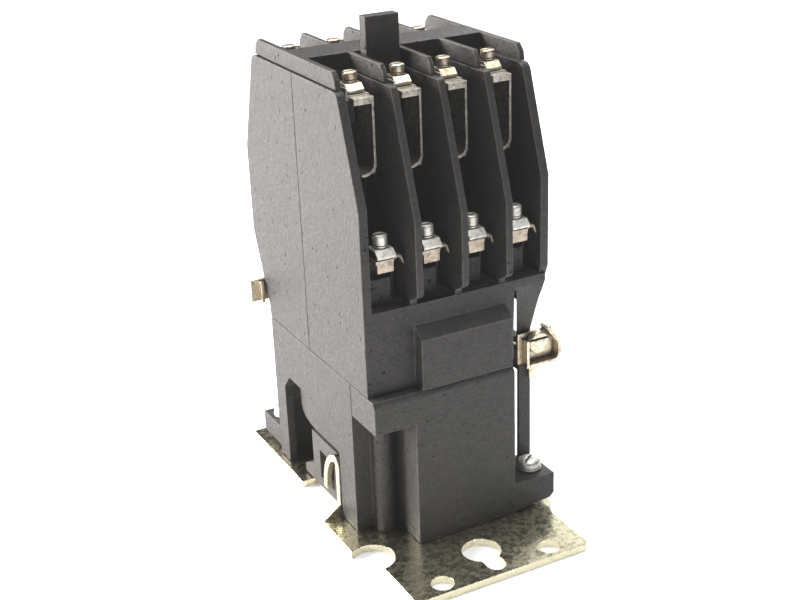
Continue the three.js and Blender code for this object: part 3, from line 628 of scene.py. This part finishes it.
def return_springs():
    """Smooth coils whose end turns lie flat on their seats."""
    for end in ("front", "rear"):
        node = f"return_spring_{end}"
        low, high = (Vector(corner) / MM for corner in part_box(node))
        middle = (low + high) / 2
        start = low.z + WIRE
        climb = high.z - low.z - 2 * WIRE - 2 * FLAT_RISE
        rings = []
        for i in range(SPRING_TURNS * STEPS_A_TURN + 1):
            turn = i / STEPS_A_TURN
            share = min(max((turn - 1) / (SPRING_TURNS - 2), 0), 1)
            z = start + FLAT_RISE * min(turn, 1) + climb * share
            z += FLAT_RISE * max(turn - SPRING_TURNS + 1, 0)
            rings.append(wire_ring(2 * math.pi * turn, z))
        mesh = to_mesh(node, lambda bm: skin(bm, rings))
        place = Matrix.Translation((middle.x * MM, middle.y * MM, 0))
        spring = piece(f"coiled_return_spring_{end}", mesh, place, "spring_steel", "frame", node, edge_mm=0)
        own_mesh(spring)


def laminated(name, node, body, tip, yoke, back):
    """E-shaped stampings stacked along Y, with rivets; the legs run from the yoke to the tip."""
    low, high = (Vector(corner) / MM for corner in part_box(node))
    outline = [(LEG_EDGES[0], back), (LEG_EDGES[0], tip)]
    for i, x in enumerate(LEG_EDGES[1:-1]):
        outline += [(x, tip), (x, yoke)] if i % 2 == 0 else [(x, yoke), (x, tip)]
    outline += [(LEG_EDGES[-1], tip), (LEG_EDGES[-1], back)]

    def plates(bm):
        pitch = (high.y - low.y - 2 * STACK_INSET) / PLATE_COUNT
        for k in range(PLATE_COUNT):
            y = low.y + STACK_INSET + k * pitch
            skin(bm, [[(x, at, z) for x, z in outline] for at in (y, y + pitch - PLATE_GAP)])

    def rivets(bm):
        z = (yoke + back) / 2
        for x in RIVET_X:
            for side, reach in ((-1, low.y), (1, high.y)):
                profile = ((RIVET_RADIUS, side * RIVET_INNER), (RIVET_RADIUS, reach - side * 0.25),
                           (RIVET_RADIUS - 0.5, reach))
                skin(bm, [[(x + px, y, z + pz) for px, pz, _ in circle(r, 0, 20)] for r, y in profile])

    piece(name, to_mesh(name, plates, rivets), Matrix.Identity(4), "core_steel", body, node, edge_mm=0)


def coil():
    """Wound wire under a band of tape, round the bobbin."""
    node = "coil_winding"
    low, high = (Vector(corner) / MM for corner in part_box(node))

    def rim(inset, z, half_x, half_y, corner):
        ring = []
        steps = WINDING_AROUND // 4
        for i in range(WINDING_AROUND):
            quarter, step = divmod(i, steps)
            angle = math.pi / 2 * (quarter + step / (steps - 1))
            side_x = 1 if quarter in (0, 3) else -1
            side_y = 1 if quarter in (0, 1) else -1
            ring.append((side_x * (half_x - corner) + (corner - inset) * math.cos(angle),
                         side_y * (half_y - corner) + (corner - inset) * math.sin(angle), z))
        return ring

    def build(bm):
        outer = []
        for k in range(WINDING_ROWS):
            share = k / (WINDING_ROWS - 1)
            taped = 0.3 < share < 0.7
            inset = 0.05 if taped else 0.2 + 0.3 * (k % 2)
            outer.append(rim(inset, low.z + (high.z - low.z) * share, high.x, high.y, WINDING_CORNER))
        inner = [rim(0, z, BOBBIN_HALF_X, BOBBIN_HALF_Y, 1) for z in (high.z, low.z)]
        loops = [[bm.verts.new(point) for point in ring] for ring in outer + inner]
        for lower, upper in zip(loops, loops[1:] + loops[:1]):
            for i in range(WINDING_AROUND):
                j = (i + 1) % WINDING_AROUND
                bm.faces.new((lower[i], lower[j], upper[j], upper[i]))

    piece("wound_coil", to_mesh("wound_coil", build), Matrix.Identity(4), "coil_tape", "frame", node,
          edge_mm=0)


def magnet():
    """The laminated core and armature, legs facing each other."""
    low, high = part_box("magnet_core")
    laminated("laminated_core", "magnet_core", "frame", high[2] / MM, CORE_YOKE_TOP, low[2] / MM)
    low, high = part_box("armature")
    laminated("laminated_armature", "armature", "carriage", low[2] / MM, ARMATURE_YOKE_LOW, high[2] / MM)


terminal_screws()
coil_screws()
foot_screws()
return_springs()
magnet()
coil()
REPLACED = ("upper_screw_", "lower_screw_", "coil_terminal_screw_", "foot_screw_", "return_spring_",
            "magnet_core", "armature", "coil_winding")


# ---------------------------------------------------------------- CAD nodes that stay visible
MOULDED_EDGE = 0.28
METAL_EDGE = 0.15


def finish_cad_node(name, slot):
    """Material and softened edges on a CAD node; its own mesh is left as it is. A moulded edge is pale, by
    the second material: partly wear, partly a painted highlight along the edge."""
    obj = frame["nodes"][name]
    obj.data.materials.clear()
    finish = MATERIALS[slot]
    if name.startswith("upper_terminal_"):
        finish = UPPER_TINNED
    if name.startswith("lower_terminal_"):
        finish = LOWER_TINNED
    obj.data.materials.append(finish)
    moulded = slot == "black_moulding"
    if moulded:
        obj.data.materials.append(PALE_EDGE)
    weld = obj.modifiers.new("weld", "WELD")
    weld.merge_threshold = 0.001 * MM
    flat = obj.modifiers.new("flat", "DECIMATE")
    flat.decimate_type = "DISSOLVE"
    flat.angle_limit = math.radians(1)
    edges = soften_edges(obj, MOULDED_EDGE if moulded else METAL_EDGE, clamp=False)
    if moulded:
        edges.material = 1
    for polygon in obj.data.polygons:
        polygon.use_smooth = True


make_camera()
make_studio()
make_floor()
for row in frame["record"]["subparts"]:
    if not row["node"].startswith(REPLACED):
        finish_cad_node(row["node"], row["material_slot"])
